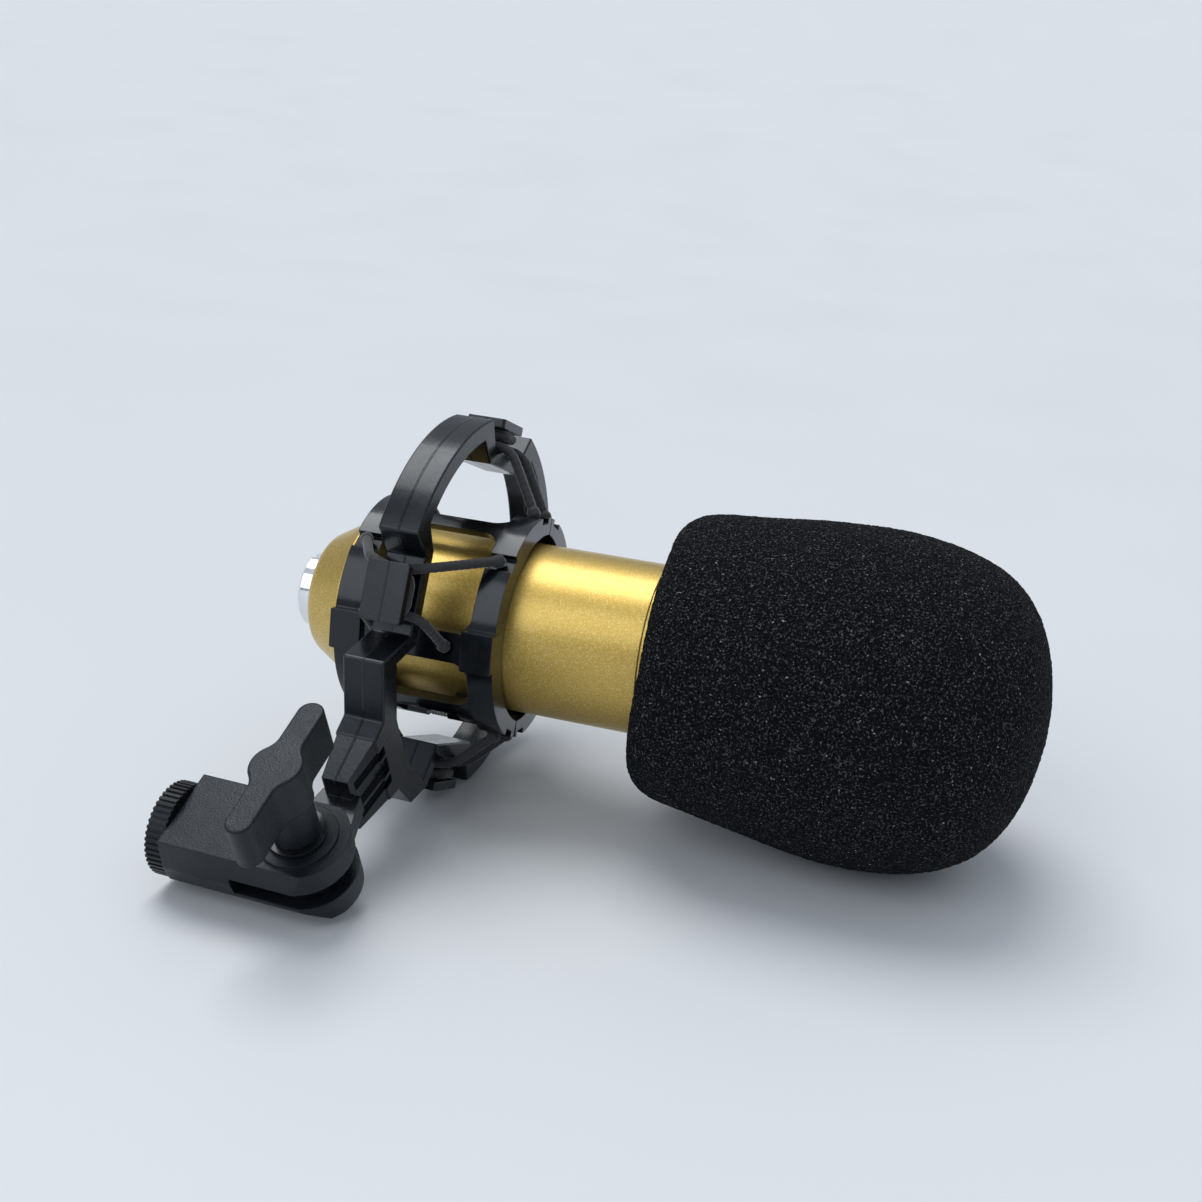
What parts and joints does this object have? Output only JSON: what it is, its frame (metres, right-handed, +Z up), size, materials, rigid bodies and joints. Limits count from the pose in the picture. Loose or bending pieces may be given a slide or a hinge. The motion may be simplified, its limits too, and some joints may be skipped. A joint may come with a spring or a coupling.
{
  "type": "condenser microphone",
  "caption": "Studio condenser microphone with a foam windscreen, lying in an elastic shock mount on a swivel stand adapter with a wing knob.",
  "frame": {"origin": "centre of the stand thread's mouth on the adapter's end face", "axes": "-X out of the stand thread; the microphone's head points to +X; +Z up as it lies on a table"},
  "size_m": [0.2025, 0.1679, 0.1036],
  "materials": {
    "gold_paint": "satin metallic",
    "grille_steel": "satin",
    "black_foam": "matt open-cell foam",
    "connector_chrome": "polished",
    "black_insulator": "matt",
    "contact_brass": "bright",
    "rail_aluminium": "satin",
    "board_green": "satin",
    "component_plastic": "gloss",
    "transformer_iron": "satin",
    "wire_plastic": "gloss",
    "saddle_plastic": "matt",
    "capsule_brass": "satin",
    "diaphragm_gold": "bright",
    "frame_plastic": "satin gloss",
    "elastic_cord": "braided",
    "grained_plastic": "fine grain",
    "ribbed_plastic": "satin",
    "zinc_steel": "zinc plated"
  },
  "bodies": {
    "stand_adapter": {"swivel_body": "grained_plastic", "captive_nut": "zinc_steel", "thread_insert": "contact_brass"},
    "thread_bush": {"thread_adapter": "ribbed_plastic"},
    "washer": {"knob_washer": "frame_plastic"},
    "knob": {"wing_knob": "grained_plastic", "knob_bolt": "zinc_steel"},
    "mount_frame": {"outer_frame": "frame_plastic", "front_cords": "elastic_cord", "rear_cords": "elastic_cord"},
    "cage": {"near_jaw": "frame_plastic", "hinge_pin": "zinc_steel", "jaw_spring": "zinc_steel"},
    "jaw": {"far_jaw": "frame_plastic"},
    "microphone": {"body_tube": "gold_paint", "tail_cap": "gold_paint", "grille_collar": "gold_paint", "head_grille": "grille_steel", "inner_mesh": "grille_steel", "xlr_shell": "connector_chrome", "xlr_insulator": "black_insulator", "xlr_pins": "contact_brass", "chassis_rails": "rail_aluminium", "circuit_board": "board_green", "board_components": "component_plastic", "output_transformer": "transformer_iron", "board_screws": "zinc_steel", "signal_wires": "wire_plastic", "capsule_saddle": "saddle_plastic", "capsule_housing": "capsule_brass", "capsule_backplate": "capsule_brass", "front_diaphragm": "diaphragm_gold", "diaphragm_ring": "capsule_brass", "capsule_screws": "zinc_steel"},
    "windscreen": {"foam_windscreen": "black_foam"}
  },
  "joints": [
    {"name": "bush_unscrew", "type": "slide", "parent": "stand_adapter", "child": "thread_bush", "axis": [-1, 0, 0], "range_m": [0, 0.02]},
    {"name": "knob_rise", "type": "slide", "parent": "stand_adapter", "child": "washer", "axis": [0, -0.4163, 0.9092], "range_m": [0, 0.00201]},
    {"name": "knob_turn", "type": "hinge", "parent": "washer", "child": "knob", "pos_m": [0.0363, 0, 0], "axis": [0, -0.4163, 0.9092], "range_deg": [0, 720]},
    {"name": "arm_tilt", "type": "hinge", "parent": "stand_adapter", "child": "mount_frame", "pos_m": [0.0363, 0, 0], "axis": [0, -0.4163, 0.9092], "range_deg": [-180, 0]},
    {"name": "cage_float", "type": "slide", "parent": "mount_frame", "child": "cage", "axis": [1, 0, 0], "range_m": [-0.003, 0.003], "stiffness_N_per_m": 900, "deforming": ["front_cords", "rear_cords"]},
    {"name": "jaw_open", "type": "hinge", "parent": "cage", "child": "jaw", "pos_m": [0.03582, 0.07332, 0.01074], "axis": [-0.9994, -0.0349, 0], "range_deg": [0, 15], "deforming": ["front_cords", "rear_cords", "jaw_spring"]},
    {"name": "microphone_withdraw", "type": "slide", "parent": "cage", "child": "microphone", "axis": [0.9994, 0.0349, 0], "range_m": [0, 0.07]},
    {"name": "windscreen_pull", "type": "slide", "parent": "microphone", "child": "windscreen", "axis": [0.9994, 0.0349, 0], "range_m": [0, 0.065]}
  ],
  "couplings": [
    {"joint": "knob_rise", "follows": "knob_turn", "m_per_rad": 0.00015915}
  ]
}
